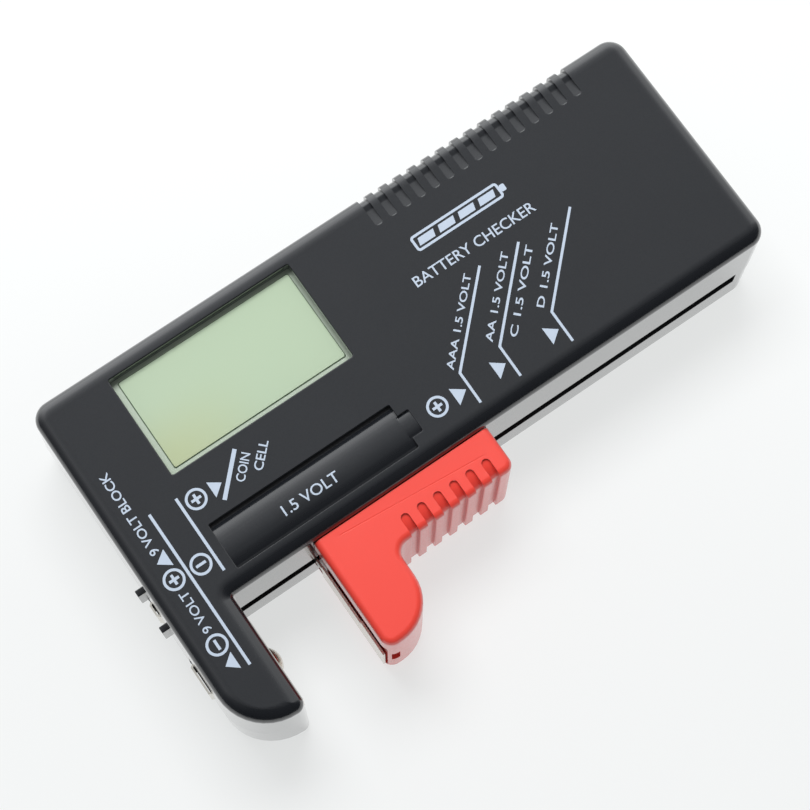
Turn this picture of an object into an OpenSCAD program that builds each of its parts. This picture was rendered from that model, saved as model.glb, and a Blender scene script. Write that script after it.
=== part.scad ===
// Battery tester with a fixed arm, a sliding arm and a digital display.
// It lies on its back: X runs along the body, Y across it and Z up out of the front face.
// The origin is the middle of the main body's back face. Every length is in millimetres.

/* [Body] */
// Length of the body along X
body_len = 110; // [108:0.5:112]
// Width of the main body along Y, without the fixed arm
body_w = 41; // [41:0.5:42]
// Height of the two shells together
body_h = 24; // [24:0.5:25]
// Height of the rear shell, from the back to the parting line
rear_h = 10.7; // [10.7:0.1:11]
// Thickness of the shell walls
wall = 2; // [1.8:0.1:2]
// Radius of the body's upright corners
corner_r = 3; // [2.5:0.5:3.5]
// Radius of the roll-off round the front face
edge_r = 2; // [1.5:0.25:2]
// Radius of the roll-off round the back face
back_edge_r = 0.4; // [0.3:0.1:0.5]
// How far the rear shell stands back from the front shell
shell_step = 0.1; // [0.05:0.05:0.3]

/* [Fixed arm] */
// Width of the fixed arm along X
arm_w = 10.2; // [10:0.1:10.5]
// Reach of the fixed arm beyond the main body
arm_reach = 20; // [19:0.5:21]
// Radius of the arm's outer tip corner
arm_tip_r = 9; // [7:0.5:9]

/* [Display] */
// Length of the display window
window_len = 32.8; // [32:0.1:33]
// Width of the display window
window_w = 17.85; // [17:0.05:18]
// Middle of the window along X
window_x = -25.8; // [-26:0.1:-25.5]
// Middle of the window along Y
window_y = 8.6; // [8.4:0.1:8.7]

/* [Slider] */
// Length of the slider's grip bar along X
grip_len = 31.8; // [31:0.1:31.8]
// Width of the slider's arm along X
slide_arm_w = 10; // [9.6:0.1:10.2]
// Reach of the slider's arm beyond the main body
slide_reach = 19.8; // [19:0.1:20]
// Reach of the grip bar beyond the main body
grip_reach = 7.6; // [7:0.1:8]
// Height of the slider's back edge above the resting plane
slider_low = 1.6; // [1.5:0.1:2]
// Height of the slider's front face above the resting plane
slider_top = 22; // [21.5:0.1:22.2]
// Clear gap between the fixed arm and the slider, as stored
rest_gap = 14.4; // [14.4:0.1:15.2]
// Number of finger slots in the grip bar
grip_slots = 6; // [4:1:6]
// Distance between finger slots
slot_pitch = 2.96; // [2.8:0.02:3]
// Height of the long slot that guides the slider
guide_h = 4.1; // [4:0.1:4.2]

/* [Grip grooves] */
// Number of grooves along the far edge
groove_count = 15; // [9:1:15]
// Distance between grooves
groove_pitch = 2.7; // [2.6:0.05:2.7]
// Width of one groove
groove_w = 1.4; // [1.2:0.1:1.6]

/* [Power cell] */
// Diameter of the power cell
cell_d = 10.5; // [10:0.1:10.5]
// Length of the power cell
cell_len = 44.5; // [44:0.1:44.5]

/* [Hidden] */

eps = 0.01;
half_len = body_len / 2;
half_w = body_w / 2;
top_z = body_h;
inner_top = body_h - wall;
arm_inner_x = arm_w - half_len;
arm_tip_y = -half_w - arm_reach;
arm_mid_x = arm_w / 2 - half_len;
arm_corner_r = 2;
tip_fill = 2.5;

// Long slot in the near wall, from the fixed arm to near the far end.
guide_x1 = half_len - 4.2;
guide_z0 = rear_h - guide_h;

// Battery-shaped relief sunk in the front face: a round-topped cell and its nub.
relief_x0 = -41.95;
relief_x1 = -9.3;
relief_y0 = -17.75;
relief_y1 = -9.8;
relief_gutter = 0.5;
relief_axis_y = -14;
relief_r = 7.85;
relief_depth = 1.2;
nub_x1 = -7.35;
nub_y0 = -16;
nub_y1 = -12;
nub_r = 5;
nub_depth = 0.5;
relief_crest = top_z - 0.05;
relief_lining = 1.2;

// Finger grooves across the far edge: scoops that end in a lower lip.
first_groove_x = 6.05;
groove_run = 5.7;
groove_low_y = half_w - 2.6;
groove_drop = 0.75;
groove_lip_y = half_w - 1.8;
groove_lip_drop = 0.55;
groove_wall_depth = 0.35;

// Slider, as stored.
slider_x0 = arm_inner_x + rest_gap;
slider_x1 = slider_x0 + grip_len;
slider_gap = 0.15;
slider_back_y = -half_w - slider_gap;
grip_y = -half_w - grip_reach;
slide_tip_y = -half_w - slide_reach;
slider_round = 1.2;
slider_corner_r = 1.5;
slide_tip_r = 7.1;
slide_tip_corner_r = 2;
fillet_r = 2;
neck_x0 = slider_x0 + 1.9;
neck_x1 = slider_x1 - 0.5;
neck_clear = 0.15;
neck_z0 = guide_z0 + neck_clear;
neck_z1 = rear_h - neck_clear;
first_slot_x = slider_x0 + 13.5;
slot_w = 1.4;
slot_deep = 1.6;
slot_shallow = 3.6;
slot_shallow_t = 0.8;
slider_wall = 1.8;
slider_roof = 3;

// Moving contact: a plate that stands in a recess of the slider's face, on two pads.
plate_recess = 0.45;
plate_recess_z0 = 2.6;
plate_recess_z1 = 17;
moving_sheet = 0.35;
moving_proud = 0.2;
moving_y0 = slide_tip_y + 1.2;
moving_step_y = slide_tip_y + 7.3;
moving_y1 = slider_back_y - 1.6;
moving_z0 = 2.8;
moving_z1 = 10.4;
moving_tip_z1 = 12;

// Carriage behind the near wall, and the rail that its wiper runs on.
carriage_y0 = -half_w + wall + 0.2;
carriage_y1 = carriage_y0 + 2.8;
carriage_x0 = slider_x0 + 3.4;
carriage_x1 = slider_x1 - 2.4;
carriage_screw_xs = [carriage_x0 + 2.5, carriage_x1 - 2.5];
carriage_screw_z = (neck_z0 + neck_z1) / 2;
carriage_z0 = 4.5;
carriage_z1 = 14;
carriage_hole_r = 0.95;
small_screw_r = 0.75;
small_head_r = 1.5;
small_head_h = 0.9;
rail_y = -11.4;
rail_t = 0.4;
rail_x0 = -38;
rail_x1 = 42;
rail_z0 = 6.9;
rail_z1 = 11.4;

// Display stack, from the window down to the board.
film_top = inner_top - 0.3;
film_t = 0.25;
glass_t = 1.1;
glass_x0 = window_x - 18;
glass_x1 = window_x + 18;
glass_y0 = -3.5;
glass_y1 = 18;
ledge_y = -0.6;
front_glass_z = film_top - film_t - glass_t;
rear_glass_z = front_glass_z - glass_t;
reflector_z = rear_glass_z - film_t;

// Circuit board, held up under the display.
board_x0 = -45;
board_x1 = -2.5;
board_y0 = -9.2;
board_y1 = 18;
board_z0 = 15;
board_t = 1.2;
board_top = board_z0 + board_t;
board_screw_at = [[-42.5, -7], [-4.6, -7], [-4.6, 15.8]];

// Screws that close the shells.
case_screw_at = [[-48.5, 14], [49.1, -5], [arm_mid_x, -33], [3, -3]];
boss_r = 2.8;
screw_r = 1;
counterbore_r = 2.1;
counterbore_h = 4;
board_post_r = 1.9;

// Power cell, its tub and the cover over it.
cell_y = 11.5;
cell_z = 7.2;
cell_x0 = -2.5;
cell_x1 = cell_x0 + cell_len - 1.1;
tub_x0 = -6;
tub_x1 = 45;
tub_y0 = 5.5;
tub_y1 = 17.5;
tub_top = 12.8;
tub_wall = 1;
cover_z0 = 0.2;
cover_t = 1.5;
cover_x0 = -7;
cover_x1 = half_len - 0.6;
cover_in = 0.2;
cover_ledge = 0.8;
cover_gap = 0.15;
ridge_x0 = 44;
ridge_pitch = 1.3;
ridge_w = 0.7;
ridge_depth = 0.4;
lead_hole_y0 = cell_y + 3.6;
lead_hole_y1 = cell_y + 4.8;
lead_hole_z0 = 9.6;
lead_hole_z1 = 10.8;
plate_z0 = 2.6;
plate_z1 = 12;
plate_half_w = 4.5;
plate_t = 0.35;
plate_gap = 0.05;

// Locating lip round the joint between the shells.
lip_t = 0.8;
lip_gap = 0.1;
lip_up = 1.2;
lip_down = 2;

// Contacts: middle height of the measuring line, and the two nine-volt places.
contact_z = 12;
contact_half_h = 3;
sheet_t = 0.3;
slit_z0 = 8.7;
slit_z1 = 15.3;
recess_t = 1.1;
recess_z0 = 7.8;
recess_z1 = 16.2;
plus_y = -14.15;
plus_half_w = 2.6;
plus_tab_y = plus_y + 1.95;
minus_y0 = -30.4;
minus_y1 = -23.3;
minus_tab_y = -23.85;
arm_tab_y = -24.15;
strip_y0 = -38.2;
strip_y1 = -23.9;
peg_y = [-10.8, -17.5];
peg_size = 1.1;
peg_reach = 1.45;
peg_z1 = 16.2;
lead_r = 0.5;
lead_sides = 8;
lead_top = board_z0 - 0.1;

// A block with round upright corners and a rolled-off top edge.
module rolled_block(x0, x1, y0, y1, z0, z1, r, e) {
    profile = concat([[0, 0], [r, 0]],
        [for (a = [0 : 15 : 90]) [r - e + e * cos(a), z1 - z0 - e + e * sin(a)]], [[0, z1 - z0]]);
    hull()
        for (x = [x0 + r, x1 - r], y = [y0 + r, y1 - r])
            translate([x, y, z0]) rotate_extrude($fn = 32) polygon(profile);
}

// An arm along Y with one big round corner at its outer tip, on the +X or the -X side.
module rolled_arm(x0, x1, y0, y1, z0, z1, tip_r, tip_x, r, e) {
    profile = concat([[0, 0], [tip_r, 0]],
        [for (a = [0 : 15 : 90]) [tip_r - e + e * cos(a), z1 - z0 - e + e * sin(a)]], [[0, z1 - z0]]);
    intersection() {
        hull()
            for (y = [y0 + tip_r, y1])
                translate([tip_x, y, z0]) rotate_extrude($fn = 64) polygon(profile);
        rolled_block(x0, x1, y0, y1, z0, z1, r, e);
    }
}

// The L-shaped outline of a shell, drawn in by a given amount on every side.
module shell_form(z0, z1, inset, e) {
    r = max(corner_r - inset, 0.8);
    rolled_block(inset - half_len, half_len - inset, inset - half_w, half_w - inset, z0, z1, r, e);
    rolled_arm(inset - half_len, arm_inner_x - inset, arm_tip_y + inset, 10, z0, z1,
        arm_tip_r - inset, arm_tip_r - half_len, arm_corner_r, e);
}

module box(x0, x1, y0, y1, z0, z1) {
    translate([x0, y0, z0]) cube([x1 - x0, y1 - y0, z1 - z0]);
}

// Inside of a shell: the main room and the arm's room, with square corners.
module room(z0, z1) {
    box(wall - half_len, half_len - wall, wall - half_w, half_w - wall, z0, z1);
    box(wall - half_len, arm_inner_x - wall, arm_tip_y + wall + tip_fill, 0, z0, z1);
}

// A sunk place along X whose floor is a round ridge, with a gutter along its far side.
module sunk_ridge(x0, x1, y0, y1, ridge_r, depth, gutter) {
    difference() {
        box(x0, x1, y0, y1, top_z - depth, top_z + 1);
        intersection() {
            translate([x0 - 1, relief_axis_y, relief_crest - ridge_r]) rotate([0, 90, 0])
                cylinder(h = x1 - x0 + 2, r = ridge_r, $fn = 128);
            box(x0 - 2, x1 + 2, y0 - 1, y1 - gutter, top_z - 2 * depth, top_z + 1);
        }
    }
}

// The battery picture in the front face: the cell and its nub.
module picture_relief() {
    sunk_ridge(relief_x0, relief_x1, relief_y0, relief_y1, relief_r, relief_depth, relief_gutter);
    sunk_ridge(relief_x1 - eps, nub_x1, nub_y0, nub_y1, nub_r, nub_depth, 0);
}

// One finger groove across the far edge: a scoop, its lip, then a shallow run down the wall.
module edge_groove(x) {
    floor_z = rear_h + 2;
    wall_y = half_w - groove_wall_depth;
    translate([x - groove_w / 2, 0, 0]) rotate([90, 0, 90]) linear_extrude(groove_w)
        polygon([[half_w - groove_run, top_z + eps], [groove_low_y, top_z - groove_drop],
            [groove_lip_y, top_z - groove_lip_drop], [half_w - 1, top_z - 0.95],
            [half_w - 0.5, top_z - 1.6], [wall_y, top_z - 2.4], [wall_y, floor_z],
            [half_w + 1, floor_z - groove_wall_depth], [half_w + 1, top_z + 1]]);
}

// Openings that both shells share: recesses for the contacts and slits for their tabs.
module contact_openings() {
    slit = 1.1;
    outer_x = -half_len - 1;
    box(arm_inner_x - wall - 1, arm_inner_x + 1, arm_tab_y - slit / 2, arm_tab_y + slit / 2,
        slit_z0, slit_z1);
    box(outer_x, wall + 1 - half_len, minus_tab_y - slit / 2, minus_tab_y + slit / 2, slit_z0, slit_z1);
    box(outer_x, recess_t - half_len, minus_y0, minus_y1, recess_z0, recess_z1);
    box(outer_x, recess_t - half_len, plus_y - plus_half_w, plus_y + plus_half_w, recess_z0, recess_z1);
    box(outer_x, wall + 1 - half_len, plus_tab_y - slit / 2, plus_tab_y + slit / 2, slit_z0, slit_z1);
}

module case_boss(x, y, z0, z1) {
    translate([x, y, z0]) cylinder(h = z1 - z0, r = boss_r, $fn = 48);
}

module front_case() {
    color([0.1, 0.1, 0.11]) difference() {
        union() {
            difference() {
                shell_form(rear_h, top_z, 0, edge_r);
                difference() {
                    room(rear_h - eps, inner_top);
                    box(relief_x0 - 1, nub_x1 + 1, -half_w, relief_y1 + 0.65,
                        inner_top - relief_lining, inner_top + 1);
                }
            }
            for (p = case_screw_at)
                case_boss(p[0], p[1], rear_h, inner_top + eps);
            for (p = board_screw_at)
                translate([p[0], p[1], board_top])
                    cylinder(h = inner_top - board_top + eps, r = board_post_r, $fn = 48);
            for (y = peg_y)
                box(-half_len - peg_reach, eps - half_len, y - peg_size / 2, y + peg_size / 2,
                    rear_h, peg_z1);
        }
        box(window_x - window_len / 2, window_x + window_len / 2,
            window_y - window_w / 2, window_y + window_w / 2, inner_top - 1, top_z + 1);
        picture_relief();
        for (i = [0 : groove_count - 1])
            edge_groove(first_groove_x + i * groove_pitch);
        for (p = case_screw_at)
            translate([p[0], p[1], rear_h - 1]) cylinder(h = 9, r = screw_r + 0.05, $fn = 32);
        for (p = board_screw_at)
            translate([p[0], p[1], board_top - 1]) cylinder(h = 5, r = small_screw_r + 0.05, $fn = 32);
        contact_openings();
    }
}

// The rear shell's outer form is the front's turned over and drawn in a little.
module rear_form() {
    translate([0, 0, rear_h]) mirror([0, 0, 1]) shell_form(0, rear_h, shell_step, back_edge_r);
}

module cover_form(grow) {
    lip_y0 = tub_y0 - cover_in;
    lip_y1 = tub_y1 + cover_in;
    box(cover_x0 - grow, cover_x1 + grow, lip_y0 - grow, lip_y1 + grow, cover_z0, cover_z0 + cover_t + grow);
    box(cover_x0 - grow, cover_x1 + grow, lip_y0 - cover_ledge - grow, lip_y1 + cover_ledge + grow,
        cover_z0 + cover_t / 2 - grow, cover_z0 + cover_t + grow);
}

module rail_post(x) {
    post_t = 2.5;
    slot_gap = 0.05;
    difference() {
        box(x - post_t / 2, x + post_t / 2, rail_y - 0.9, rail_y + rail_t + 1.6, wall - eps, rail_z1 + 0.6);
        box(x - post_t, x + post_t, rail_y - slot_gap, rail_y + rail_t + slot_gap,
            rail_z0 - slot_gap, rail_z1 + 1);
    }
}

// The lip that locates the front shell, standing on a thicker wall inside the rear shell.
module shell_lip() {
    out = wall + lip_gap;
    box(-44, 44, half_w - out - lip_t, half_w - out, rear_h - lip_down, rear_h + lip_up);
    box(half_len - out - lip_t, half_len - out, 0, 9, rear_h - lip_down, rear_h + lip_up);
    box(out - half_len, out + lip_t - half_len, -8, 9, rear_h - lip_down, rear_h + lip_up);
    box(-44, 44, half_w - out - lip_t, half_w - wall + eps, wall, rear_h - lip_down + lip_gap);
    box(half_len - out - lip_t, half_len - wall + eps, 0, 9, wall, rear_h - lip_down + lip_gap);
    box(wall - eps - half_len, out + lip_t - half_len, -8, 9, wall, rear_h - lip_down + lip_gap);
}

// Way for the cover: its own place, and the open end that it slides out through.
module cover_way() {
    y0 = tub_y0 - cover_in - cover_gap;
    y1 = tub_y1 + cover_in + cover_gap;
    far_x = half_len + 5;
    cover_form(cover_gap);
    box(cover_x0 - cover_gap, far_x, y0, y1, -1, cover_z0 + eps);
    box(cover_x1, far_x, y0 - cover_ledge, y1 + cover_ledge, cover_z0 + cover_t / 2 - cover_gap,
        cover_z0 + cover_t + cover_gap);
    box(cover_x1, far_x, y0, y1, -1, cover_z0 + cover_t + cover_gap);
}

module rear_case() {
    sill_top = 3.4;
    color([0.1, 0.1, 0.11]) difference() {
        union() {
            difference() {
                rear_form();
                room(wall, rear_h + 1);
            }
            for (p = case_screw_at)
                case_boss(p[0], p[1], wall - eps, rear_h - 0.05);
            box(tub_x0 - tub_wall, tub_x1 + tub_wall, tub_y0 - tub_wall, half_w - wall + eps,
                wall - eps, rear_h - 0.05);
            box(tub_x0 - tub_wall, tub_x1 + tub_wall, tub_y0 - tub_wall, half_w - wall - lip_gap,
                wall - eps, tub_top + tub_wall);
            box(tub_x1, half_len - wall + eps, tub_y0 - 2, half_w - wall + eps, wall - eps, sill_top);
            for (x = [rail_x0 + 1, rail_x1 - 1])
                rail_post(x);
            shell_lip();
        }
        box(arm_inner_x + 0.3, guide_x1, -half_w - 1, -half_w + wall + eps, guide_z0, rear_h + 1);
        box(tub_x0, tub_x1, tub_y0, tub_y1, -1, tub_top);
        cover_way();
        for (p = case_screw_at) {
            translate([p[0], p[1], -1]) cylinder(h = counterbore_h + 1, r = counterbore_r, $fn = 48);
            translate([p[0], p[1], 0]) cylinder(h = rear_h + 1, r = screw_r + 0.15, $fn = 32);
        }
        for (x = [tub_x0 - tub_wall - 1, tub_x1 - 1])
            box(x, x + tub_wall + 2, lead_hole_y0, lead_hole_y1, lead_hole_z0, lead_hole_z1);
        contact_openings();
    }
}

module battery_cover() {
    end_bevel = 0.9;
    color([0.1, 0.1, 0.11]) difference() {
        cover_form(0);
        for (i = [0 : 6])
            box(ridge_x0 + i * ridge_pitch, ridge_x0 + ridge_w + i * ridge_pitch, tub_y0 + 2, tub_y1 - 2,
                cover_z0 - 1, cover_z0 + ridge_depth);
        translate([cover_x1, half_w, cover_z0]) rotate([90, 0, 0]) linear_extrude(body_w)
            polygon([[-end_bevel, -eps], [eps, end_bevel], [eps, -eps]]);
    }
}

// A flat sheet between two corners, used by the display's layers.
module layer(x0, x1, y0, y1, z0, t) {
    box(x0, x1, y0, y1, z0, z0 + t);
}

module lcd_front_film() {
    color([0.72, 0.8, 0.68]) layer(glass_x0 + 2.7, glass_x1 - 2.2, glass_y0 + 4.45, glass_y1 - 1.05,
        film_top - film_t, film_t);
}

module lcd_front_glass() {
    color([0.8, 0.86, 0.8]) layer(glass_x0, glass_x1, glass_y0, glass_y1, front_glass_z, glass_t);
}

module lcd_rear_glass() {
    color([0.76, 0.83, 0.74]) layer(glass_x0, glass_x1, ledge_y, glass_y1, rear_glass_z, glass_t);
}

module lcd_reflector() {
    color([0.75, 0.77, 0.7]) layer(glass_x0 + 1.5, glass_x1 - 1.5, ledge_y + 0.4, glass_y1 - 0.4,
        reflector_z, film_t);
}

module lcd_frame() {
    color([0.9, 0.9, 0.88]) difference() {
        box(glass_x0 - 1.1, glass_x1 + 1.1, glass_y0 - 1.1, glass_y1 + 0.42, board_top, front_glass_z + 0.8);
        box(glass_x0 - 0.08, glass_x1 + 0.08, glass_y0 - 0.08, glass_y1 + 0.06,
            board_top - 1, front_glass_z + 2);
    }
}

module elastomer_connector() {
    color([0.85, 0.5, 0.6]) box(glass_x0 + 2, glass_x1 - 2, glass_y0 + 0.3, ledge_y - 0.3,
        board_top, front_glass_z);
}

module circuit_board() {
    color([0.1, 0.42, 0.2]) difference() {
        box(board_x0, board_x1, board_y0, board_y1, board_z0, board_top);
        for (p = board_screw_at)
            translate([p[0], p[1], board_z0 - 1]) cylinder(h = board_t + 2, r = 0.95, $fn = 32);
    }
}

// The black resin drop over the measuring chip, on the board's underside.
module chip_cover() {
    drop_r = 9;
    drop_h = 1.3;
    base_r = sqrt(drop_r * drop_r - pow(drop_r - drop_h, 2));
    arc = [for (i = [0 : 8]) let (a = asin(base_r / drop_r) * i / 8)
        [drop_r * sin(a), drop_h - drop_r * (1 - cos(a))]];
    color([0.05, 0.05, 0.05]) translate([-27, 4, board_z0]) mirror([0, 0, 1])
        rotate_extrude($fn = 48) polygon(concat([[0, 0]], arc));
}

module board_resistors() {
    color([0.12, 0.12, 0.13])
        for (i = [0 : 3], j = [0 : 1])
            box(-18.5 + i * 3.2, -16.5 + i * 3.2, 9 + j * 3, 10.2 + j * 3, board_z0 - 0.55, board_z0);
}

module board_capacitors() {
    color([0.7, 0.6, 0.42])
        for (x = [-40, -36.5, -33])
            box(x, x + 2, 12, 13.3, board_z0 - 0.9, board_z0);
    color([0.15, 0.2, 0.35]) translate([-41, -2.5, board_z0 - 2.6]) rotate([0, 90, 0])
        cylinder(h = 7, r = 2.5, $fn = 32);
}

// A pan-head screw pointing up, with its head below z = 0.
module screw(head_r, head_h, shank_r, shank_len) {
    translate([0, 0, -head_h]) cylinder(h = head_h, r = head_r, $fn = 32);
    translate([0, 0, -eps]) cylinder(h = shank_len, r = shank_r, $fn = 24);
}

module cross_recess(depth) {
    for (a = [0, 90])
        rotate([0, 0, a]) translate([-1, -0.2, 0]) cube([2, 0.4, depth]);
}

module board_screws() {
    color([0.75, 0.75, 0.78])
        for (p = board_screw_at)
            translate([p[0], p[1], board_z0]) difference() {
                screw(small_head_r, small_head_h, small_screw_r, 5);
                translate([0, 0, -1]) cross_recess(0.6);
            }
}

module case_screws() {
    color([0.75, 0.75, 0.78])
        for (p = case_screw_at)
            translate([p[0], p[1], counterbore_h]) difference() {
                screw(1.9, 1.5, screw_r, 14);
                translate([0, 0, -1.6]) cross_recess(0.9);
            }
}

// The fixed contact on the arm's inner face: a strip with a pressed dome.
module arm_contact() {
    dome_y = -30.3;
    dome_r = 3;
    dome_h = 1;
    base_r = sqrt(dome_r * dome_r - pow(dome_r - dome_h, 2));
    arc = [for (i = [0 : 6]) let (a = asin(base_r / dome_r) * i / 6)
        [dome_r * sin(a), dome_h - dome_r * (1 - cos(a))]];
    color([0.8, 0.78, 0.72]) {
        box(arm_inner_x, arm_inner_x + sheet_t, strip_y0, strip_y1, contact_z - 3.8, contact_z + 3.8);
        translate([arm_inner_x + sheet_t - eps, dome_y, contact_z]) rotate([0, 90, 0])
            rotate_extrude($fn = 48) polygon(concat([[0, 0]], arc));
        box(arm_inner_x - wall - 0.8, arm_inner_x + sheet_t, arm_tab_y - sheet_t / 2,
            arm_tab_y + sheet_t / 2, contact_z - contact_half_h, contact_z + contact_half_h);
    }
}

// A strip of sheet metal bent along a path in plan, standing on edge.
module bent_strip(path, t, z0, z1) {
    translate([0, 0, z0]) linear_extrude(z1 - z0)
        for (i = [0 : len(path) - 2])
            let (a = path[i], b = path[i + 1], d = b - a, n = norm(d))
                translate(a) rotate(atan2(d[1], d[0])) union() {
                    translate([0, -t / 2]) square([n, t]);
                    circle(d = t, $fn = 16);
                }
}

module nine_volt_plus_contact() {
    x = -half_len;
    color([0.8, 0.78, 0.72])
        bent_strip([[x + 2.9, plus_tab_y], [x + 0.5, plus_tab_y], [x - 0.6, plus_y + 0.9],
            [x - 0.6, plus_y - 0.9], [x + 0.8, plus_y - 2.2]], sheet_t,
            contact_z - contact_half_h, contact_z + contact_half_h);
}

module nine_volt_minus_contact() {
    x = -half_len;
    color([0.8, 0.78, 0.72])
        bent_strip([[x + 2.9, minus_tab_y], [x + 0.5, minus_tab_y], [x - 0.6, minus_tab_y - 0.85],
            [x - 0.6, minus_y0 + 1], [x + 0.8, minus_y0 + 0.3]], sheet_t,
            contact_z - contact_half_h, contact_z + contact_half_h);
}

module contact_rail() {
    color([0.8, 0.65, 0.3]) box(rail_x0, rail_x1, rail_y, rail_y + rail_t, rail_z0, rail_z1);
}

// Rings of points swept along a route, closed into one solid.
function ring(at, along, r, sides) =
    let (up = abs(along[2]) > 0.9 ? [1, 0, 0] : [0, 0, 1],
        side = cross(along, up) / norm(cross(along, up)), out = cross(side, along))
    [for (k = [0 : sides - 1]) at + r * (cos(360 * k / sides) * side + sin(360 * k / sides) * out)];
function heading(p, i) =
    let (d = p[min(i + 1, len(p) - 1)] - p[max(i - 1, 0)]) d / norm(d);
module swept_rod(p, r, sides) {
    points = [for (i = [0 : len(p) - 1]) each ring(p[i], heading(p, i), r, sides)];
    walls = [for (i = [0 : len(p) - 2], k = [0 : sides - 1])
        let (a = i * sides + k, b = i * sides + (k + 1) % sides) [a, b, b + sides, a + sides]];
    first = [for (k = [sides - 1 : -1 : 0]) k];
    last = [for (k = [0 : sides - 1]) (len(p) - 1) * sides + k];
    polyhedron(points = points, faces = concat([first], walls, [last]), convexity = 10);
}

// A smooth route through chosen points: straight runs with cut corners.
function corner(before, at, after) =
    [0.75 * at + 0.25 * before, 0.9 * at + 0.05 * before + 0.05 * after, 0.75 * at + 0.25 * after];
function smooth(p) =
    concat([p[0]], [for (i = [1 : len(p) - 2]) each corner(p[i - 1], p[i], p[i + 1])], [p[len(p) - 1]]);
module lead(p) {
    swept_rod(smooth(p), lead_r, lead_sides);
}

module cell_spring() {
    turns = 4;
    steps = 14;
    coil = [for (i = [0 : turns * steps])
        let (a = 360 * i / steps, r = 3.6 - 1.2 * i / (turns * steps))
        [tub_x0 + 0.75 + 2.2 * i / (turns * steps), cell_y + r * cos(a), cell_z + r * sin(a)]];
    color([0.8, 0.8, 0.82]) {
        swept_rod(coil, 0.3, 8);
        box(tub_x0 + plate_gap, tub_x0 + plate_gap + plate_t, cell_y - plate_half_w, cell_y + plate_half_w,
            plate_z0, plate_z1);
    }
}

module cell_plate() {
    color([0.8, 0.8, 0.82]) {
        box(tub_x1 - plate_gap - plate_t, tub_x1 - plate_gap, cell_y - plate_half_w, cell_y + plate_half_w,
            plate_z0, plate_z1);
        box(tub_x1 - 1.9, tub_x1 - plate_gap - plate_t, cell_y - 2, cell_y + 2, cell_z - 2, cell_z + 2);
    }
}

module power_cell() {
    color([0.25, 0.42, 0.65]) {
        translate([cell_x0, cell_y, cell_z]) rotate([0, 90, 0])
            cylinder(h = cell_x1 - cell_x0, r = cell_d / 2 - 0.1, $fn = 64);
        translate([cell_x1 - eps, cell_y, cell_z]) rotate([0, 90, 0]) cylinder(h = 1.1, r = 1.9, $fn = 32);
    }
}

// Hook-up wires: from the board's underside to each contact.
module red_leads() {
    end_y = (lead_hole_y0 + lead_hole_y1) / 2;
    end_z = (lead_hole_z0 + lead_hole_z1) / 2;
    color([0.75, 0.1, 0.08]) {
        lead([[-43, 3, lead_top], [-43, 3, 12], [-48, -5, 9.5], [-50.6, -12.6, 12],
            [-52, plus_tab_y - 0.7, 12.2]]);
        lead([[-10, -3, lead_top], [-10, -3, 11], [-16, -8, 10], [-24, -10.4, 9.5]]);
        lead([[-6, 1, lead_top], [-6, 1, 12], [6, 3, 14.6], [44, 3, 14.6], [48, 3, 12],
            [48.4, 8, end_z], [48.4, end_y, end_z], [tub_x1 + 0.05, end_y, end_z]]);
    }
}

module black_leads() {
    end_y = (lead_hole_y0 + lead_hole_y1) / 2;
    end_z = (lead_hole_z0 + lead_hole_z1) / 2;
    color([0.08, 0.08, 0.08]) {
        lead([[-43, -3, lead_top], [-43, -3, 8], [-51.5, -18, 8], [-51.8, -22.5, 10],
            [-51.9, minus_tab_y + 0.7, contact_z]]);
        lead([[-37, -6, lead_top], [-37, -6, 7], [-47, -15, 7], [-48.2, -21, 9],
            [-48.2, arm_tab_y, contact_z]]);
        lead([[-14, 15, lead_top], [-14, 15, end_z], [-9, end_y, end_z], [tub_x0 - 0.05, end_y, end_z]]);
    }
}

// Plan outline of the slider: the grip bar, the arm with its round outer corner, and the fillet between.
module slider_form() {
    fillet_x = slider_x0 + slide_arm_w;
    difference() {
        box(fillet_x - 1, fillet_x + fillet_r, grip_y - fillet_r, grip_y + 1, slider_low,
            slider_top - slider_round);
        translate([fillet_x + fillet_r, grip_y - fillet_r, 0]) cylinder(h = body_h, r = fillet_r, $fn = 48);
    }
    rolled_block(slider_x0, slider_x1, grip_y, 0, slider_low, slider_top, slider_corner_r, slider_round);
    rolled_arm(slider_x0, slider_x0 + slide_arm_w, slide_tip_y, 0, slider_low, slider_top,
        slide_tip_r, slider_x0 + slide_arm_w - slide_tip_r, slide_tip_corner_r, slider_round);
}

// One finger slot: shallow on the front face, then deep down the near face.
module grip_slot(x) {
    deep_y = grip_y + slot_deep;
    round_y = grip_y + slot_shallow - slot_w / 2;
    shallow_z = slider_top - slot_shallow_t;
    box(x - slot_w / 2, x + slot_w / 2, grip_y - 1, deep_y, slider_low - 1, slider_top + 1);
    box(x - slot_w / 2, x + slot_w / 2, grip_y - 1, round_y, shallow_z, slider_top + 1);
    translate([x, round_y, shallow_z]) cylinder(h = 2, r = slot_w / 2, $fn = 32);
}

// Coring from the back, in cells with ribs between them.
module slider_cores() {
    core_top = slider_top - slider_roof;
    bar_x0 = slider_x0 + slide_arm_w + 0.6;
    bar_cell = 5.8;
    arm_y0 = slide_tip_y + 4.4;
    arm_cell = 6;
    rib = 1.2;
    for (i = [0 : 2])
        translate([i * (bar_cell + rib), 0, 0])
            box(bar_x0, bar_x0 + bar_cell, grip_y + 3.2, slider_back_y - slider_wall,
                slider_low - 1, core_top);
    for (i = [0 : 1])
        translate([0, i * (arm_cell + rib), 0])
            box(slider_x0 + slider_wall, slider_x0 + slide_arm_w - slider_wall - 0.4, arm_y0,
                arm_y0 + arm_cell, slider_low - 1, core_top);
}

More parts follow.
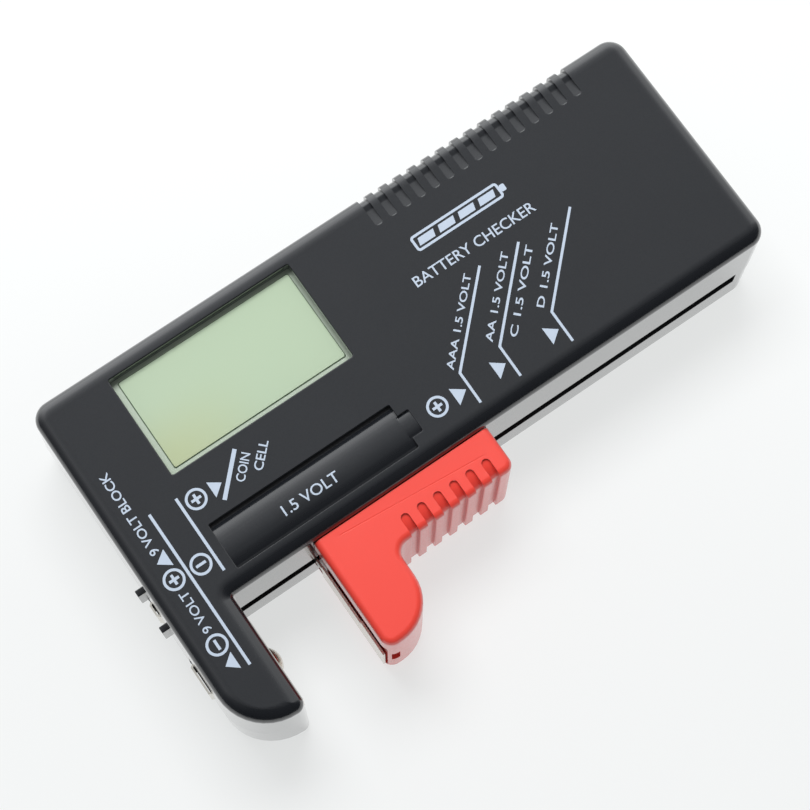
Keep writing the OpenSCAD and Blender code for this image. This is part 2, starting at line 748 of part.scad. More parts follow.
// Recess for the moving contact, with the two pads that it rests on left standing.
module plate_place() {
    difference() {
        box(slider_x0 - 1, slider_x0 + plate_recess, slide_tip_y - 1, slider_back_y + 1,
            plate_recess_z0, plate_recess_z1);
        for (y = [moving_y0 + 1, moving_y1 - 5])
            box(slider_x0 - moving_proud + moving_sheet, slider_x0 + 1, y, y + 2.5,
                plate_recess_z0 - 1, 6.5);
    }
}

module slider_grip() {
    pin_hole_w = 1.35;
    pin_hole_z0 = 7.6;
    pin_hole_z1 = 12.6;
    color([0.9, 0.2, 0.16]) difference() {
        union() {
            intersection() {
                slider_form();
                box(slider_x0 - 1, slider_x1 + 1, slide_tip_y - 1, slider_back_y, 0, body_h);
            }
            box(neck_x0, neck_x1, slider_back_y - eps, carriage_y0, neck_z0, neck_z1);
        }
        for (i = [0 : grip_slots - 1])
            grip_slot(first_slot_x + i * slot_pitch);
        slider_cores();
        plate_place();
        box(slider_x0 + 0.9, slider_x0 + 0.9 + pin_hole_w, slide_tip_y - 1, slide_tip_y + 1.3,
            pin_hole_z0, pin_hole_z1);
        for (x = carriage_screw_xs)
            translate([x, carriage_y0 + 1, carriage_screw_z]) rotate([90, 0, 0])
                cylinder(h = 5.5, r = small_screw_r + 0.05, $fn = 32);
    }
}

module slider_carriage() {
    foot_t = 2;
    foot_reach = 0.8;
    color([0.85, 0.85, 0.82]) difference() {
        union() {
            box(carriage_x0, carriage_x1, carriage_y0, carriage_y1, carriage_z0, carriage_z1);
            for (x = [carriage_x0 + 6, carriage_x1 - 8])
                box(x, x + foot_t, carriage_y1 - eps, carriage_y1 + foot_reach,
                    carriage_z0, carriage_z0 + 1.5);
        }
        for (x = carriage_screw_xs)
            translate([x, carriage_y1 + 1, carriage_screw_z]) rotate([90, 0, 0])
                cylinder(h = 6, r = carriage_hole_r, $fn = 32);
    }
}

// The moving contact on the slider's face, with a tab in through the guide slot.
module slider_contact_plate() {
    x0 = slider_x0 - moving_proud;
    x1 = x0 + moving_sheet;
    tab_y = carriage_y1 - 0.05;
    tab_z0 = 7;
    tab_z1 = 9.5;
    color([0.8, 0.78, 0.72]) {
        box(x0, x1, moving_y0, moving_y1, moving_z0, moving_z1);
        box(x0, x1, moving_y0, moving_step_y, moving_z0, moving_tip_z1);
        box(x0, x1, moving_y1 - 0.3, tab_y, tab_z0, tab_z1);
        box(x0, carriage_x0, tab_y - moving_sheet, tab_y, tab_z0, tab_z1);
    }
}

// A bowed strip that reaches from the carriage to the rail.
module slider_wiper() {
    foot_y = carriage_y1 + 0.15;
    bow_y = rail_y - 0.25;
    mid_x = (carriage_x0 + carriage_x1) / 2;
    foot_in = 0.8;
    foot_out = 4.2;
    color([0.78, 0.62, 0.32]) difference() {
        bent_strip([[carriage_x0 + foot_in, foot_y], [carriage_x0 + foot_out, foot_y], [mid_x - 2, bow_y],
            [mid_x + 2, bow_y], [carriage_x1 - foot_out, foot_y], [carriage_x1 - foot_in, foot_y]],
            sheet_t, 7.4, 10.9);
        for (x = carriage_screw_xs)
            translate([x, carriage_y1 + 1, carriage_screw_z]) rotate([90, 0, 0])
                cylinder(h = 2, r = carriage_hole_r, $fn = 32);
    }
}

module slider_screws() {
    color([0.75, 0.75, 0.78])
        for (x = carriage_screw_xs)
            translate([x, carriage_y1 + 0.3, carriage_screw_z]) rotate([90, 0, 0]) difference() {
                screw(small_head_r, small_head_h, small_screw_r, 6.5);
                translate([0, 0, -1]) cross_recess(0.6);
            }
}

front_case();
rear_case();
battery_cover();
lcd_front_film();
lcd_front_glass();
lcd_rear_glass();
lcd_reflector();
lcd_frame();
elastomer_connector();
circuit_board();
chip_cover();
board_resistors();
board_capacitors();
board_screws();
case_screws();
arm_contact();
nine_volt_plus_contact();
nine_volt_minus_contact();
contact_rail();
cell_spring();
cell_plate();
power_cell();
red_leads();
black_leads();
slider_grip();
slider_carriage();
slider_contact_plate();
slider_wiper();
slider_screws();
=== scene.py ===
"""Looks for the battery tester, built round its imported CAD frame.

Lengths are written in millimetres in the CAD frame and turned into metres when a mesh is made.
X runs along the body, Y across it and Z up out of the front face.
"""

import math

import bmesh
import bpy
from mathutils import Euler, Matrix, Vector


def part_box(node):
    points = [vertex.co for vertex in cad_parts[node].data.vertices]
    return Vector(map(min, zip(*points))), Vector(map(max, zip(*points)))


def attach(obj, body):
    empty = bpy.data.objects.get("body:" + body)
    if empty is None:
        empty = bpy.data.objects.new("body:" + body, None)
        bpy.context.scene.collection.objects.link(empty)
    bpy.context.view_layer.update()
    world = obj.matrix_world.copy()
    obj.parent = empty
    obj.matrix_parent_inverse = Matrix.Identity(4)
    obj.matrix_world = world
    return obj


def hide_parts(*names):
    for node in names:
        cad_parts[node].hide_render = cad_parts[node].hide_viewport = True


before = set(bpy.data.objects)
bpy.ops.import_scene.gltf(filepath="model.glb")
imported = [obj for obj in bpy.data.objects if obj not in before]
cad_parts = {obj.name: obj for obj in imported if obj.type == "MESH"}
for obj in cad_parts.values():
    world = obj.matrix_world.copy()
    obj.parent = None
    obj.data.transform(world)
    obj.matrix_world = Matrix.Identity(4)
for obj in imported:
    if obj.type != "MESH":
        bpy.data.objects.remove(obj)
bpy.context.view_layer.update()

MM = 0.001
MERGE = 1e-6

# ---------------------------------------------------------------- measures (mm)
HALF_LEN = 55.0
HALF_W = 20.5
TOP = 23.97
SEAM = 10.7
WALL = 2.0
ROLL_IN = 2.7
ROLL_DOWN = 1.9
ARM_IN_X = -44.8
ARM_TIP_Y = -40.47
STEP_IN = 0.1
CORNER_R = 3.0
ARM_OUT_R = 8.6
ARM_IN_R = 1.6
CROOK_R = 0.35
LEAST_R = 0.04

CASE = [
    (HALF_LEN, -HALF_W, CORNER_R),
    (HALF_LEN, HALF_W, CORNER_R),
    (-HALF_LEN, HALF_W, CORNER_R),
    (-HALF_LEN, ARM_TIP_Y, ARM_OUT_R),
    (ARM_IN_X, ARM_TIP_Y, ARM_IN_R),
    (ARM_IN_X, -HALF_W, CROOK_R),
]

SLIDER_X0 = -30.4
SLIDER_X1 = 1.4
SLIDER_ARM_X = -20.6
SLIDER_BACK = -20.65
SLIDER_FRONT = -28.1
SLIDER_TIP = -40.3
SLIDER_LOW = 1.6
SLIDER_TOP = 22.0

# ---------------------------------------------------------------- mesh tools


def outline(corners, inset=0.0, steps=8):
    """Points round a right-angled outline with rounded corners, drawn in by a given amount."""
    count = len(corners)
    bends = []
    for i, (x, y, radius) in enumerate(corners):
        here = Vector((x, y))
        d1 = (here - Vector(corners[i - 1][:2])).normalized()
        d2 = (Vector(corners[(i + 1) % count][:2]) - here).normalized()
        n1 = Vector((-d1.y, d1.x))
        n2 = Vector((-d2.y, d2.x))
        side = 1 if d1.x * d2.y - d1.y * d2.x > 0 else -1
        corner = here + (n1 + n2) * inset
        bends.append([corner, max(radius - inset * side, LEAST_R), side, d1, n1, n2])
    # two neighbouring arcs may not run into each other
    for i, bend in enumerate(bends):
        other = bends[(i + 1) % count]
        room = (other[0] - bend[0]).length - LEAST_R / 2
        if bend[1] + other[1] > room:
            large, small = (bend, other) if bend[1] > other[1] else (other, bend)
            large[1] = room - small[1]
    points = []
    for corner, r, side, d1, n1, n2 in bends:
        centre = corner - d1 * r + n1 * r * side
        for k in range(steps + 1):
            a = math.pi / 2 * k / steps
            points.append(centre + (-n1 * side * math.cos(a) - n2 * side * math.sin(a)) * r)
    return points


def box_corners(x0, x1, y0, y1, r=0.3):
    return [(x1, y0, r), (x1, y1, r), (x0, y1, r), (x0, y0, r)]


def mesh_object(name, verts, faces, materials=()):
    mesh = bpy.data.meshes.new(name)
    mesh.from_pydata([Vector(v) * MM for v in verts], [], faces)
    mesh.validate()
    obj = bpy.data.objects.new(name, mesh)
    bpy.context.scene.collection.objects.link(obj)
    for m in materials:
        mesh.materials.append(m)
    return obj


def loft(name, rings):
    """A closed solid through rings of points, each given with its height."""
    verts, faces = [], []
    n = len(rings[0][0])
    for points, z in rings:
        verts += [(p.x, p.y, z) for p in points]
    for k in range(len(rings) - 1):
        for i in range(n):
            j = (i + 1) % n
            faces.append((k * n + i, k * n + j, (k + 1) * n + j, (k + 1) * n + i))
    faces.append(tuple(reversed(range(n))))
    faces.append(tuple(range((len(rings) - 1) * n, len(rings) * n)))
    return mesh_object(name, verts, faces)


def rolled(
    name, corners, z0, z1, top_roll, low_roll=0.0, inset=0.0, steps=8, arc=6, top_down=None
):
    """A block on a rounded outline whose upper and lower edges are rolled off."""
    top_down = top_roll if top_down is None else top_down
    rings = []

    def ring(draw_in, z):
        rings.append((outline(corners, inset + draw_in, steps), z))

    turns = [math.pi / 2 * k / arc for k in range(arc + 1)]
    if low_roll:
        for a in turns:
            ring(low_roll * (1 - math.sin(a)), z0 + low_roll * (1 - math.cos(a)))
    else:
        ring(0.0, z0)
    if top_roll:
        for a in turns:
            ring(top_roll * (1 - math.cos(a)), z1 - top_down * (1 - math.sin(a)))
    else:
        ring(0.0, z1)
    return loft(name, rings)


def flared(name, corners, z0, z1, flare, steps=6, arc=4):
    """A cutter that opens out at its top, so that the rim it leaves is rounded."""
    rings = [(outline(corners, 0.0, steps), z0)]
    for k in range(arc + 1):
        a = math.pi / 2 * k / arc
        rim = outline(corners, -flare * (1 - math.cos(a)), steps)
        rings.append((rim, z1 - flare * (1 - math.sin(a))))
    rings.append((outline(corners, -flare - 0.02, steps), z1 + 1.0))
    return loft(name, rings)


def prism(name, points, z0, z1):
    return loft(name, [([Vector(p) for p in points], z0), ([Vector(p) for p in points], z1)])


def turned(name, points, axis, low, high):
    """A prism whose outline lies across the X or the Y axis."""
    obj = prism(name, points, low, high)
    for v in obj.data.vertices:
        a, b, c = v.co
        v.co = (c, a, b) if axis == "X" else (b, c, a)
    return obj


def circle(a, b, radius, sides):
    """Points round a circle, anticlockwise."""
    points = []
    for k in range(sides):
        turn = 2 * math.pi * k / sides
        points.append((a + radius * math.cos(turn), b + radius * math.sin(turn)))
    return points


def cylinder(name, centre, radius, z0, z1, sides=48):
    return prism(name, circle(*centre, radius, sides), z0, z1)


def box_object(name, x0, x1, y0, y1, z0, z1):
    return prism(name, [(x0, y0), (x1, y0), (x1, y1), (x0, y1)], z0, z1)


def drop(obj):
    mesh = obj.data
    bpy.data.objects.remove(obj, do_unlink=True)
    bpy.data.meshes.remove(mesh)


def evaluated_mesh(obj):
    depsgraph = bpy.context.evaluated_depsgraph_get()
    depsgraph.update()
    return bpy.data.meshes.new_from_object(obj.evaluated_get(depsgraph), depsgraph=depsgraph)


def combine(target, tool, operation="DIFFERENCE"):
    """Applies one boolean to the target and throws the tool away."""
    mod = target.modifiers.new("combine", "BOOLEAN")
    mod.operation = operation
    mod.solver = "MANIFOLD"
    mod.object = tool
    made = evaluated_mesh(target)
    if not made.polygons:
        mod.solver = "EXACT"
        made = evaluated_mesh(target)
    target.modifiers.clear()
    old = target.data
    target.data = made
    bpy.data.meshes.remove(old)
    drop(tool)
    return target


def cut_all(target, tools):
    for tool in tools:
        combine(target, tool)
    return target


def join(name, objects, material):
    """One mesh from several, each closed on its own."""
    bm = bmesh.new()
    for obj in objects:
        bm.from_mesh(obj.data)
    mesh = bpy.data.meshes.new(name)
    bm.to_mesh(mesh)
    bm.free()
    for obj in objects:
        drop(obj)
    joined = bpy.data.objects.new(name, mesh)
    bpy.context.scene.collection.objects.link(joined)
    mesh.materials.append(material)
    return joined


def finish_mesh(obj, material, sharp_deg=38):
    """Merges doubles, marks the sharp edges, smooths the rest and weights the normals by face."""
    bm = bmesh.new()
    bm.from_mesh(obj.data)
    bmesh.ops.remove_doubles(bm, verts=bm.verts, dist=MERGE)
    bmesh.ops.dissolve_degenerate(bm, edges=bm.edges, dist=MERGE / 10)
    bmesh.ops.recalc_face_normals(bm, faces=bm.faces)
    limit = math.radians(sharp_deg)
    for edge in bm.edges:
        edge.smooth = len(edge.link_faces) == 2 and edge.calc_face_angle(0.0) < limit
    for face in bm.faces:
        face.smooth = True
        face.material_index = 0
    bm.to_mesh(obj.data)
    bm.free()
    obj.data.materials.clear()
    obj.data.materials.append(material)
    normals = obj.modifiers.new("normals", "WEIGHTED_NORMAL")
    normals.keep_sharp = True
    normals.weight = 80
    return obj


def add_bevel(obj, width, angle=30):
    mod = obj.modifiers.new("edges", "BEVEL")
    mod.width = width * MM
    mod.segments = 2
    mod.limit_method = "ANGLE"
    mod.angle_limit = math.radians(angle)
    mod.use_clamp_overlap = True
    mod.harden_normals = False


def place(obj, body, slot, *nodes):
    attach(obj, body)
    if nodes:
        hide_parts(*nodes)
    return obj


# ---------------------------------------------------------------- materials


class Nodes:
    """Small helper that makes and links the nodes of one material."""

    def __init__(self, name):
        self.material = bpy.data.materials.new(name)
        self.material.use_nodes = True
        self.tree = self.material.node_tree
        self.shader = self.tree.nodes["Principled BSDF"]
        self.coords = self.tree.nodes.new("ShaderNodeTexCoord")

    def add(self, kind, **values):
        node = self.tree.nodes.new(kind)
        for key, value in values.items():
            setattr(node, key, value)
        return node

    def link(self, a, b):
        self.tree.links.new(a, b)

    def set(self, socket, value):
        self.shader.inputs[socket].default_value = value

    def noise(self, scale, detail=2.0, rough=0.5, stretch=None):
        node = self.add("ShaderNodeTexNoise", noise_dimensions="3D")
        node.inputs["Scale"].default_value = scale
        node.inputs["Detail"].default_value = detail
        node.inputs["Roughness"].default_value = rough
        if stretch:
            mapping = self.add("ShaderNodeMapping")
            mapping.inputs["Scale"].default_value = stretch
            self.link(self.coords.outputs["Object"], mapping.inputs["Vector"])
            self.link(mapping.outputs["Vector"], node.inputs["Vector"])
        else:
            self.link(self.coords.outputs["Object"], node.inputs["Vector"])
        return node.outputs["Fac"]

    def span(self, value, low, high, to_low, to_high, smooth=False):
        node = self.add("ShaderNodeMapRange")
        if smooth:
            node.interpolation_type = "SMOOTHSTEP"
        node.inputs["From Min"].default_value = low
        node.inputs["From Max"].default_value = high
        node.inputs["To Min"].default_value = to_low
        node.inputs["To Max"].default_value = to_high
        self.link(value, node.inputs["Value"])
        return node.outputs["Result"]

    def mix(self, factor, a, b):
        node = self.add("ShaderNodeMix", data_type="RGBA")
        for socket, value in ((node.inputs[6], a), (node.inputs[7], b)):
            if isinstance(value, tuple):
                socket.default_value = (*value, 1.0)
            else:
                self.link(value, socket)
        self.link(factor, node.inputs[0])
        return node.outputs[2]

    def mul(self, a, b):
        node = self.add("ShaderNodeMath", operation="MULTIPLY")
        for socket, value in ((node.inputs[0], a), (node.inputs[1], b)):
            if isinstance(value, (int, float)):
                socket.default_value = value
            else:
                self.link(value, socket)
        return node.outputs[0]

    def bump(self, height, strength, distance):
        node = self.add("ShaderNodeBump")
        node.inputs["Distance"].default_value = distance
        if isinstance(strength, (int, float)):
            node.inputs["Strength"].default_value = strength
        else:
            self.link(strength, node.inputs["Strength"])
        self.link(height, node.inputs["Height"])
        self.link(node.outputs["Normal"], self.shader.inputs["Normal"])

    def to(self, value, socket):
        self.link(value, self.shader.inputs[socket])


def case_material():
    """Black moulding: a fine spark-eroded texture on flat faces, smooth on rolls and walls."""
    n = Nodes("case_black")
    split = n.add("ShaderNodeSeparateXYZ")
    n.link(n.coords.outputs["Normal"], split.inputs[0])
    up = n.add("ShaderNodeMath", operation="ABSOLUTE")
    n.link(split.outputs["Z"], up.inputs[0])
    flat = n.span(up.outputs[0], 0.93, 0.999, 0.0, 1.0, smooth=True)
    cloud = n.noise(90, 3)
    colour = n.mix(cloud, (0.0095, 0.0107, 0.0135), (0.0125, 0.0140, 0.0168))
    n.to(colour, "Base Color")
    grain = n.noise(5200, 2, 0.6)
    rough_flat = n.span(grain, 0.3, 0.7, 0.44, 0.56)
    rough = n.add("ShaderNodeMix", data_type="FLOAT")
    n.link(flat, rough.inputs[0])
    rough.inputs[2].default_value = 0.2
    n.link(rough_flat, rough.inputs[3])
    n.to(rough.outputs[0], "Roughness")
    n.bump(grain, n.span(flat, 0.0, 1.0, 0.02, 0.16), 0.00006)
    n.to(n.span(flat, 0.0, 1.0, 1.0, 0.0), "Coat Weight")
    n.set("Coat Roughness", 0.12)
    n.set("Specular IOR Level", 0.68)
    return n.material


def red_material():
    n = Nodes("slider_red")
    cloud = n.noise(70, 3)
    n.to(n.mix(cloud, (0.755, 0.053, 0.036), (0.785, 0.062, 0.043)), "Base Color")
    grain = n.noise(3000, 2, 0.5)
    n.to(n.span(grain, 0.3, 0.7, 0.30, 0.40), "Roughness")
    n.bump(grain, 0.05, 0.00005)
    n.set("Coat Weight", 0.7)
    n.set("Coat Roughness", 0.18)
    return n.material


def plain(
    name, dark, light, rough=(0.35, 0.5), scale=400, strength=0.05, metallic=0.0, stretch=None,
    fine=2500,
):
    """A procedural finish: slow colour drift, fine grain in roughness and relief."""
    n = Nodes(name)
    n.to(n.mix(n.noise(scale, 3), dark, light), "Base Color")
    grain = n.noise(fine, 2, 0.5, stretch)
    n.to(n.span(grain, 0.3, 0.7, *rough), "Roughness")
    n.bump(grain, strength, 0.00005)
    n.set("Metallic", metallic)
    return n.material


def film_material():
    """Pale green polarising film, a little yellower towards one end."""
    n = Nodes("display_film")
    low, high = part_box("lcd_front_film")
    split = n.add("ShaderNodeSeparateXYZ")
    n.link(n.coords.outputs["Object"], split.inputs[0])
    end_x = low.x + 0.6 * (high.x - low.x)
    end_y = low.y + 0.75 * (high.y - low.y)
    along = n.span(split.outputs["X"], low.x, end_x, 1.0, 0.0, smooth=True)
    across = n.span(split.outputs["Y"], low.y, end_y, 1.0, 0.0, smooth=True)
    drift = n.mix(n.mul(along, across), (0.385, 0.485, 0.345), (0.39, 0.445, 0.258))
    cloud = n.span(n.noise(45, 2), 0.3, 0.7, 0.0, 0.25)
    n.to(n.mix(cloud, drift, (0.40, 0.485, 0.35)), "Base Color")
    n.set("Roughness", 0.22)
    n.bump(n.noise(1500, 1), 0.02, 0.00004)
    n.set("Coat Weight", 0.2)
    n.set("Coat Roughness", 0.06)
    return n.material


CASE_BLACK = case_material()
SLIDER_RED = red_material()
FILM = film_material()
PRINT = plain("print_white", (0.43, 0.50, 0.60), (0.48, 0.55, 0.65), (0.4, 0.55), 900, 0.1)
GLASS = plain("display_glass", (0.38, 0.45, 0.36), (0.42, 0.49, 0.40), (0.08, 0.12), 200, 0.01)
LINE = plain("display_line", (0.05, 0.085, 0.05), (0.08, 0.12, 0.07), (0.3, 0.4), 600, 0.02)
REFLECTOR = plain("display_reflector", (0.52, 0.58, 0.46), (0.58, 0.63, 0.52), (0.4, 0.5))
WHITE = plain("frame_white", (0.74, 0.74, 0.70), (0.80, 0.80, 0.76), (0.4, 0.5))
PINK = plain(
    "elastomer_pink", (0.62, 0.28, 0.34), (0.75, 0.38, 0.44), (0.5, 0.6), 1500, 0.1,
    stretch=(4, 0.3, 0.3),
)
BOARD = plain(
    "board_green", (0.015, 0.12, 0.04), (0.03, 0.19, 0.07), (0.2, 0.35), 900, 0.12, fine=1200
)
RESIN = plain(
    "resin_black", (0.010, 0.010, 0.011), (0.018, 0.018, 0.02), (0.15, 0.3), 300, 0.08
)
TAN = plain("capacitor_tan", (0.38, 0.27, 0.14), (0.48, 0.36, 0.2), (0.3, 0.45))
STEEL = plain(
    "screw_steel", (0.55, 0.55, 0.57), (0.66, 0.66, 0.68), (0.22, 0.38), 500, 0.1, 1.0
)
NICKEL = plain(
    "contact_nickel", (0.66, 0.63, 0.57), (0.78, 0.75, 0.69), (0.16, 0.3), 300, 0.1, 1.0, (1, 1, 8)
)
BRASS = plain(
    "rail_brass", (0.66, 0.48, 0.2), (0.78, 0.6, 0.28), (0.2, 0.34), 300, 0.1, 1.0, (0.4, 4, 4)
)
SLEEVE = plain("cell_sleeve", (0.06, 0.13, 0.34), (0.09, 0.18, 0.42), (0.2, 0.3))
WIRE_RED = plain("lead_red", (0.5, 0.025, 0.018), (0.6, 0.04, 0.03), (0.4, 0.5))
WIRE_BLACK = plain("lead_black", (0.014, 0.014, 0.015), (0.024, 0.024, 0.026), (0.4, 0.5))

# ---------------------------------------------------------------- front shell

ROOF = 22
LOW_ROOF = 20.8
RIB_Y = -9.6
ARM_ROOM = (-36, -15)
WINDOW = box_corners(-42.2, -9.4, -0.325, 17.525, 0.35)
WINDOW_FLARE = 0.22
RELIEF_X0 = -41.95
RELIEF_X1 = -9.3
NUB_X1 = -7.35
RELIEF_Y0 = -17.75
RELIEF_Y1 = -9.8
RELIEF_AXIS_Y = -14.0
RELIEF_R = 7.85
GUTTER = 0.5
RELIEF_CREST = TOP - 0.05
RELIEF_DEPTH = 1.2
NUB_R = 5.0
NUB_DEPTH = 0.5
NUB_Y0 = -16
NUB_Y1 = -12
FIRST_GROOVE = 6.0
GROOVE_PITCH = 2.705
GROOVE_COUNT = 15
GROOVE_W = 1.4
GROOVE_RUN = 5.7
GROOVE_WALL = 0.35
# how far in from the wall and how far down: scoop, lower lip, then the roll into the wall
GROOVE_SCOOP = [
    (5.75, -0.02), (5.5, 0.12), (2.75, 0.74), (2.45, 0.74), (1.9, 0.56), (1.6, 0.58),
    (1.1, 0.85), (0.7, 1.3), (0.45, 1.8), (GROOVE_WALL, 2.5),
]
PEG_YS = (-10.8, -17.5)
PEG_TOP = 16.2
PEG_HALF = 0.55
PEG_OUT = 1.44
PEG_IN = 0.4
PEG_EDGE = 0.15
DRAFT = 0.4
DRAFT_TOP = 21.8
DRAFT_FALL = 8.0
DRAFT_FROM = -48.0
DRAFT_BLEND = 6.0
SLIT_Z = (8.7, 15.3)
RECESS_Z = (7.8, 16.2)
RECESS_DEEP = 1.1


def sunk_ridge(name, x0, x1, y0, y1, depth, radius, gutter):
    """Cutter for a sunk place along X: a round ridge is its floor, a gutter its far side."""
    cutter = flared(name, box_corners(x0, x1, y0, y1, 0.25), TOP - depth, TOP, 0.12)
    rim = circle(RELIEF_AXIS_Y, RELIEF_CREST - radius, radius, 96)
    ridge = turned(name + "_ridge", rim, "X", x0 - 1, x1 + 1)
    combine(ridge, box_object("trim", x0 - 2, x1 + 2, y1 - gutter, y1 + 20, TOP - 30, TOP + 9))
    return combine(cutter, ridge)


def groove_cutter(x):
    """One finger groove: a scoop that ends in a lower lip, then a shallow run down the wall."""
    section = [(HALF_W - back, TOP - down) for back, down in GROOVE_SCOOP]
    section += [
        (HALF_W - GROOVE_WALL, SEAM + 2.0),
        (HALF_W + 1, SEAM + 1.2),
        (HALF_W + 1, TOP + 1),
        (HALF_W - GROOVE_SCOOP[0][0], TOP + 1),
    ]
    half = GROOVE_W / 2
    cutter = turned("groove", section, "X", x - half, x + half)
    # the inner end of a groove is rounded in plan
    low, high = HALF_W - GROOVE_RUN, HALF_W + 2
    corners = [
        (x + half, low, half), (x + half, high, 0.1), (x - half, high, 0.1), (x - half, low, half),
    ]
    return combine(cutter, flared("groove_plan", corners, SEAM, TOP, 0.07), "INTERSECT")


def draft_left(shell):
    """The end wall by the fixed arm leans out a little towards the parting line."""
    for v in shell.data.vertices:
        low = min(max((DRAFT_TOP * MM - v.co.z) / (DRAFT_FALL * MM), 0.0), 1.0)
        near = min(max((DRAFT_FROM * MM - v.co.x) / (DRAFT_BLEND * MM), 0.0), 1.0)
        v.co.x -= DRAFT * MM * low * near


def peg(y):
    x0, x1 = -HALF_LEN - PEG_OUT, PEG_IN - HALF_LEN
    corners = box_corners(x0, x1, y - PEG_HALF, y + PEG_HALF, 0.16)
    return rolled("peg", corners, SEAM, PEG_TOP, PEG_EDGE, steps=3, arc=3)


def contact_cutters():
    """Slits that the contacts come through, and the shallow recesses they lie in."""
    slits = [
        (ARM_IN_X - 3, ARM_IN_X + 1, -24.7, -23.6),
        (-HALF_LEN - 1, 3 - HALF_LEN, -24.4, -23.3),
        (-HALF_LEN - 1, 3 - HALF_LEN, -12.75, -11.65),
    ]
    tools = [box_object("slit", *sides, *SLIT_Z) for sides in slits]
    for y0, y1 in ((-30.4, -23.3), (-16.75, -11.55)):
        deep = RECESS_DEEP - HALF_LEN
        tools.append(box_object("recess", -HALF_LEN - 1, deep, y0, y1, *RECESS_Z))
    return tools


def make_front():
    shell = rolled("front_shell", CASE, SEAM, TOP, ROLL_IN, steps=10, arc=12, top_down=ROLL_DOWN)
    draft_left(shell)
    x0, x1 = WALL - HALF_LEN, HALF_LEN - WALL
    rooms = [
        box_object("room", x0, x1, RIB_Y, HALF_W - WALL, SEAM - 1, ROOF),
        box_object("room", x0, x1, WALL - HALF_W, RIB_Y - 0.01, SEAM - 1, LOW_ROOF),
        box_object("room", x0, ARM_IN_X - WALL, *ARM_ROOM, SEAM - 1, LOW_ROOF),
    ]
    cut_all(shell, rooms)
    combine(shell, flared("window", WINDOW, ROOF - 1, TOP, WINDOW_FLARE))
    cell = (RELIEF_X0, RELIEF_X1, RELIEF_Y0, RELIEF_Y1, RELIEF_DEPTH, RELIEF_R, GUTTER)
    combine(shell, sunk_ridge("cell_relief", *cell))
    nub = (RELIEF_X1 - 0.3, NUB_X1, NUB_Y0, NUB_Y1, NUB_DEPTH, NUB_R, 0)
    combine(shell, sunk_ridge("nub_relief", *nub))
    for i in range(GROOVE_COUNT):
        combine(shell, groove_cutter(FIRST_GROOVE + i * GROOVE_PITCH))
    cut_all(shell, contact_cutters())
    for y in PEG_YS:
        combine(shell, peg(y), "UNION")
    finish_mesh(shell, CASE_BLACK)
    return place(shell, "case", "case_black", "front_case")


# ---------------------------------------------------------------- rear shell and its cover

TUB = (-6.0, 45.0, 5.5, 17.5)
COVER_GAP = 0.15
COVER = (-7.0, 54.4, 5.3, 17.7)
COVER_Z = (0.2, 1.7)
LEDGE = 0.8
LEDGE_Z = 0.95
WAY_TOP = 1.85
GUIDE_LOW = 6.6
GUIDE_END = HALF_LEN - 4.2
SCREWS = [(-48.5, 14.0), (49.1, -5.0), (-49.9, -33.0), (3.0, -3.0)]
HEAD_R = 2.1
BOSS_R = 2.8
HOLE_R = 1.15
RIDGES = 7
RIDGE_X = 44
RIDGE_PITCH = 1.3
RIDGE_W = 0.7


def make_rear():
    shell = rolled("rear_shell", CASE, 0.0, SEAM - 0.03, 0.1, 0.4, STEP_IN, steps=10, arc=4)
    draft_left(shell)
    x0, x1 = WALL - HALF_LEN, HALF_LEN - WALL
    above = SEAM + 1
    way_x0 = COVER[0] - COVER_GAP
    side, shelf = COVER_GAP, LEDGE + COVER_GAP
    tools = [
        box_object("room", x0, x1, WALL - HALF_W, 4.0, WALL, above),
        box_object("room", x0, -7.5, 3.9, HALF_W - WALL, WALL, above),
        box_object("room", x0, ARM_IN_X - WALL, *ARM_ROOM, WALL, above),
        box_object("tub", *TUB, -1, above),
        box_object(
            "guide", ARM_IN_X + 0.3, GUIDE_END, -HALF_W - 1, WALL - HALF_W + 0.1, GUIDE_LOW, above
        ),
        box_object(
            "cover_way", way_x0, HALF_LEN + 5, COVER[2] - side, COVER[3] + side, -1, WAY_TOP
        ),
        box_object(
            "ledge", way_x0, HALF_LEN + 5, COVER[2] - shelf, COVER[3] + shelf, LEDGE, WAY_TOP
        ),
    ]
    for spot in SCREWS:
        tools.append(cylinder("bore", spot, HEAD_R, -1, 4.0))
    cut_all(shell, tools + contact_cutters())
    for spot in SCREWS:
        boss = cylinder("boss", spot, BOSS_R, 3.9, SEAM - 0.1)
        combine(boss, cylinder("hole", spot, HOLE_R, 3, above))
        combine(shell, boss, "UNION")
    finish_mesh(shell, CASE_BLACK)
    return place(shell, "case", "case_black", "rear_case")


def make_cover():
    x0, x1, y0, y1 = COVER
    z0, z1 = COVER_Z
    cover = rolled("rear_cover", box_corners(x0, x1, y0, y1, 0.6), z0, z1, 0, 0.3, steps=4, arc=3)
    shelf = box_corners(x0, x1, y0 - LEDGE, y1 + LEDGE, 0.6)
    combine(cover, rolled("ledge", shelf, LEDGE_Z, z1, 0, steps=4), "UNION")
    for i in range(RIDGES):
        x = RIDGE_X + RIDGE_PITCH * i
        ridge = box_corners(x, x + RIDGE_W, y0 + 2.2, y1 - 2.2, 0.3)
        combine(cover, rolled("ridge", ridge, -1, 0.6, 0.2, steps=4, arc=3))
    finish_mesh(cover, CASE_BLACK)
    return place(cover, "cover", "case_black", "battery_cover")


# ---------------------------------------------------------------- slider

